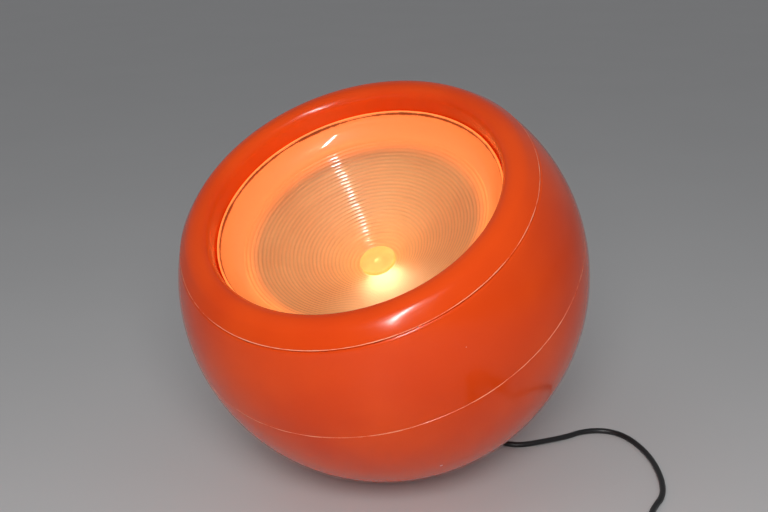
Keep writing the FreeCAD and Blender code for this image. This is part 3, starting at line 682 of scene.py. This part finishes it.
def makeFrontRing():
    outerW = ring["crestW"] - ring["outerRound"]
    innerW = ring["crestW"] - ring["innerRound"]
    shoulder = (ring["crestR"] + ring["outerRound"] * math.cos(math.radians(45)),
                outerW + ring["outerRound"] * math.sin(math.radians(45)))
    seamR, seamW = ring["seam"]
    slope = [(seamR - 1.3, seamW), (seamR - 0.75, seamW + 0.2), (seamR - 0.55, seamW + 0.7)]
    slope += [(seamR + (shoulder[0] - seamR) * t + 0.6 * t * (1 - t), seamW + (shoulder[1] - seamW) * t
               + 0.6 * t * (1 - t)) for t in (0.15, 0.3, 0.45, 0.6, 0.75, 0.9)]
    top = arc(ring["crestR"], outerW, ring["outerRound"], 45, 90, 14)
    top += arc(ring["crestR"], innerW, ring["innerRound"], 90, 180, 24)[1:]
    lipR, lipW = ring["lip"]
    low = ring["ledgeW"] - ring["ledgeThick"]
    well = softened([(lipR, lipW), (lipR, ring["ledgeW"], 0.8), (ring["ledgeR"], ring["ledgeW"], 0.6),
                     (ring["ledgeR"], low, 0.6), (lipR + ring["wall"], low, 0.8),
                     (lipR + ring["wall"], lipW)])
    under = arc(ring["crestR"], innerW, ring["innerRound"] - ring["wall"], 180, 90, 8)
    under += arc(ring["crestR"], outerW, ring["outerRound"] - ring["wall"], 90, 45, 6)[1:]
    skirt = [(174.2, 111.0), (174.2, 101.0), (176.9, 101.0), (176.9, seamW)]
    return turnPiece("frontRing", slope + top + well + under + skirt, "ring", "lamp", 256)


rearShell = makeRearShell()
frontShell = makeFrontShell()
frontRing = makeFrontRing()
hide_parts("rear_shell")
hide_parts("front_shell")
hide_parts("front_ring")
print("ball and ring made")


# Diffuser -----------------------------------------------------------------------------------

dish = {
    "wall": 2.0, "apexW": 11.5, "slope": 0.517, "floorR": 20.0, "coneR": 126.0,
    "rimR": 143.3, "rimW": 99.6, "ribPitch": 3.5, "ribHeight": 0.6, "ribPoints": 10,
    "buttonR": 18.5, "buttonHeight": 6.5, "stemR": 4.0, "stemDrop": 4.6,
    # share of the radius, drop from the top
    "buttonCrown": [(0, 0.1), (0.35, 0.25), (0.6, 0.7), (0.8, 1.3)],
}


def makeDish():
    lean = math.atan(dish["slope"])
    coneW = dish["apexW"] + dish["slope"] * dish["coneR"]
    floorW = dish["apexW"] + dish["slope"] * dish["floorR"]
    rise = math.atan2(dish["rimW"] - coneW, dish["rimR"] - dish["coneR"])
    radius = math.hypot(dish["rimW"] - coneW, dish["rimR"] - dish["coneR"]) / (2 * math.sin(rise - lean))
    sideR = dish["coneR"] - radius * math.sin(lean)
    sideW = coneW + radius * math.cos(lean)
    start = math.degrees(lean) - 90
    end = math.degrees(math.atan2(dish["rimW"] - sideW, dish["rimR"] - sideR))
    steps = round((dish["coneR"] - dish["floorR"]) / dish["ribPitch"]) * dish["ribPoints"]
    cone = [(dish["floorR"] + (dish["coneR"] - dish["floorR"]) * i / steps,
             floorW + (coneW - floorW) * i / steps) for i in range(steps)]
    side = arc(sideR, sideW, radius, start, end, 16)
    rim = arc((side[-1][0] * 2 + dish["wall"]) / 2, dish["rimW"] - 1.0, dish["wall"] / 2, 180, 0, 8)
    back = arc(sideR, sideW, radius + dish["wall"], end - 2, start, 14)
    drop = dish["wall"] / math.cos(lean)
    base = [(dish["floorR"] - 1, floorW - drop), (4.2, floorW - drop), (4.2, floorW)]
    ribs = {"start": dish["floorR"] + 1, "end": dish["coneR"] - 1, "pitch": dish["ribPitch"],
            "height": dish["ribHeight"], "slope": lean,
            "top": lambda r, w: w > dish["apexW"] + dish["slope"] * r - 0.5}
    return turnPiece("ringedDiffuser", base + cone + side[:-2] + rim + back, "dish", "diffuser", 192, ribs,
                     sharp=60)


def makeButton():
    low = dish["apexW"] + dish["slope"] * dish["floorR"]
    high = low + dish["buttonHeight"]
    r = dish["buttonR"]
    crown = [(max(0.02, r * share), high - drop) for share, drop in dish["buttonCrown"]]
    end = low - dish["stemDrop"]
    stem = [(dish["stemR"], low + 0.05), (dish["stemR"], end, 0.5), (0.02, end)]
    outline = softened(crown + [(r, high - 2.0, 1.4), (r, low + 0.05, 0.3)] + stem, 6)
    return turnPiece("centreButton", outline, "button", "diffuser", 96)


ringedDiffuser = makeDish()
centreButton = makeButton()
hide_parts("diffuser_dish")
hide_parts("centre_button")
print("diffuser made")


# Bulb and reflector -------------------------------------------------------------------------

bulb = {
    "r": 30.0, "wall": 0.9, "neckAngle": -38, "poleR": 0.02,
    "neck": [(19.6, -50.0), (16.2, -57.0), (14.0, -64.0), (12.9, -70.0), (12.6, -73.5), (12.6, -79.5)],
    "neckInside": [(11.7, -78.0), (11.7, -73.5), (12.0, -70.0), (13.1, -64.0), (15.3, -57.0), (18.7, -50.0)],
}


def makeBulb():
    centre = bulbCentreW / mm
    outside = arc(0, centre, bulb["r"], 89.9, bulb["neckAngle"], 40)
    inside = arc(0, centre, bulb["r"] - bulb["wall"], bulb["neckAngle"], 89.9, 32)
    bottom = [(bulb["poleR"], bulb["neck"][-1][1]), (bulb["poleR"], bulb["neckInside"][0][1])]
    outline = outside + bulb["neck"] + bottom + bulb["neckInside"] + inside
    return turnPiece("bulbGlass", outline, "bulb", "bulb", 96)


reflector = {
    "footW": -86.0, "footR": 36.0, "holeR": 20.1, "wall": 1.0,
    "rim": (130.4, 51.8, 1.9),     # centre and radius of the rolled edge
    "bowl": [(60, -77.5), (80, -66), (96, -50.5), (108, -33), (117, -12.5), (123, 9), (126.5, 31),
             (127.6, 48)],
    "back": [(130.4, 50.2), (128.6, 48), (127.5, 31), (124, 9), (118, -12.9), (109, -33.5), (96.8, -51.2),
             (80.6, -66.9), (60.4, -78.4)],
}


def makeReflector():
    footW = reflector["footW"]
    floor = [(reflector["holeR"], footW + reflector["wall"]), (reflector["footR"], footW + reflector["wall"])]
    under = [(reflector["footR"], footW), (reflector["holeR"], footW)]
    rim = arc(*reflector["rim"], 200, -20, 10)
    outline = floor + reflector["bowl"] + rim + reflector["back"] + under
    return turnPiece("reflectorBowl", outline, "enamel", "lamp", 160)


bulbGlass = makeBulb()
reflectorBowl = makeReflector()
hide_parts("bulb_glass")
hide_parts("reflector")
bulbGlass.visible_shadow = False
bulbGlass.visible_diffuse = False     # the glow light does that evenly
print("bulb and reflector made")


# Cord entry and the cord's finish ------------------------------------------------------------

boot = {
    "boreR": 3.02,
    "collar": [(7.9, -203.0), (7.9, -206.2), (5.9, -206.4), (5.9, -210.0), (8.3, -210.1), (8.4, -211.2),
               (6.6, -212.2)],
    "ribs": 5, "ribR": 6.1, "ribW": -213.2, "ribPitch": 2.3, "taper": 0.38, "ribDepth": 0.8,
    "tip": (4.0, -224.9),
}


def makeBoot():
    # ribbed tail of the entry grommet
    outline = [(boot["boreR"], boot["collar"][0][1])] + boot["collar"]
    for index in range(boot["ribs"]):
        w = boot["ribW"] - index * boot["ribPitch"]
        r = boot["ribR"] - index * boot["taper"]
        outline += [(r, w), (r, w - 1.2), (r - boot["ribDepth"], w - 1.5), (r - boot["ribDepth"], w - 2.1)]
    outline += [boot["tip"], (boot["boreR"], boot["tip"][1])]
    return turnPiece("cordBoot", outline, "rubber", "lamp", 64)


cordBoot = makeBoot()
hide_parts("cord_boot")
mainsCord.data.materials.append(finishes["cord"])
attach(mainsCord, "lamp")
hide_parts("cord_to_switch", "cord_to_coil", "cord_coil", "cord_to_plug")
tuple(cordExit)


# CAD nodes that keep their shape ------------------------------------------------------------

nodeFinishes = {
    "zinc": ["shell_screws", "ring_screws", "button_washer", "stem_tube", "stem_nuts", "bracket",
             "bracket_screws", "grip_screw", "weight_screws", "switch_pin"],
    "brass": ["bulb_cap", "holder_thread_shell", "holder_contact", "terminal_screws"],
    "darkGlass": ["bulb_insulator"],
    "solder": ["bulb_tip"],
    "clearGlass": ["bulb_mount"],
    "tungsten": ["bulb_filament"],
    "phenolic": ["holder_body", "holder_cap", "shade_ring"],
    "porcelain": ["holder_insert"],
    "nylon": ["cord_grip"],
    "cord": ["cord_inner"],
    "coreBrown": ["core_live"],
    "coreBlue": ["core_neutral"],
    "rubber": ["foot_pad"],
    "iron": ["counterweight"],
    "switch": ["switch_base", "switch_cover", "switch_rocker"],
    "plug": ["plug_body"],
    "nickel": ["plug_pins"],
}
for finishName, nodeNames in nodeFinishes.items():
    for nodeName in nodeNames:
        for slot in frame["nodes"][nodeName].material_slots:
            slot.material = finishes[finishName]
print("nodes dressed")


# Floor and light ----------------------------------------------------------------------------

stage = {"reach": 14.0, "floor": (0.54, 0.54, 0.54, 1), "air": (0.90, 0.91, 0.94, 1), "airStrength": 0.24}


def makeFloor():
    material, tree, shader = newMaterial("paleFloor", Roughness=0.5)
    place = addNode(tree, "ShaderNodeTexCoord").outputs["Object"]
    cloud = addNode(tree, "ShaderNodeTexNoise", inputs={"Vector": place, "Scale": 3.0, "Detail": 4.0})
    lighter = tuple(c * 1.06 for c in stage["floor"][:3]) + (1,)
    tree.links.new(mixColour(tree, cloud.outputs[0], stage["floor"], lighter), shader.inputs["Base Color"])
    mesh = bpy.data.meshes.new("floor")
    s = stage["reach"]
    mesh.from_pydata([(-s, -s, 0), (s, -s, 0), (s, s, 0), (-s, s, 0)], [], [(0, 1, 2, 3)])
    mesh.materials.append(material)
    item = bpy.data.objects.new("floor", mesh)
    bpy.context.scene.collection.objects.link(item)


# how far the two lamps by the camera stand from it: right, up, back
beside = {"cameraLight": (-0.045, 0.12, 0.0), "frontLight": (0.0, 0.3, 0.5)}


def byCamera(name):
    right, up, back = beside[name]
    return cameraSpot + cameraUp * up + cameraRight * right + cameraBack * back


def makeLight(name, kind, place, power, size, colour=(1, 1, 1), tall=None, **more):
    data = bpy.data.lights.new(name, kind)
    data.energy = power
    data.color = colour
    if kind == "AREA":
        data.shape = "RECTANGLE"
        data.size = size
        data.size_y = tall or size
    elif kind == "SUN":
        data.angle = size
    else:
        data.shadow_soft_size = size
    item = bpy.data.objects.new(name, data)
    item.location = place
    item.rotation_euler = (ballCentre - Vector(place)).to_track_quat("-Z", "Y").to_euler()
    for key, value in more.items():
        setattr(item, key, value)
    bpy.context.scene.collection.objects.link(item)


def makeStudio():
    world = bpy.data.worlds.new("studioAir")
    world.use_nodes = True
    background = world.node_tree.nodes["Background"]
    background.inputs["Color"].default_value = stage["air"]
    background.inputs["Strength"].default_value = stage["airStrength"]
    bpy.context.scene.world = world
    makeLight("cameraLight", "AREA", byCamera("cameraLight"), 9, 0.025, tall=0.5, visible_diffuse=False)
    makeLight("frontLight", "AREA", byCamera("frontLight"), 20.5, 0.7, visible_glossy=False)
    makeLight("roomLight", "SUN", (-0.8, -2.0, 3.0), 0.25, 0.9, visible_glossy=False)
    makeLight("bulbGlow", "POINT", inLamp(0, 0, bulbCentreW / mm), 0.35, 0.024, (1.0, 0.66, 0.34),
              visible_camera=False, visible_transmission=False, visible_glossy=False)


makeFloor()
makeStudio()
bpy.context.scene.view_settings.view_transform = "Standard"
print("studio lit")
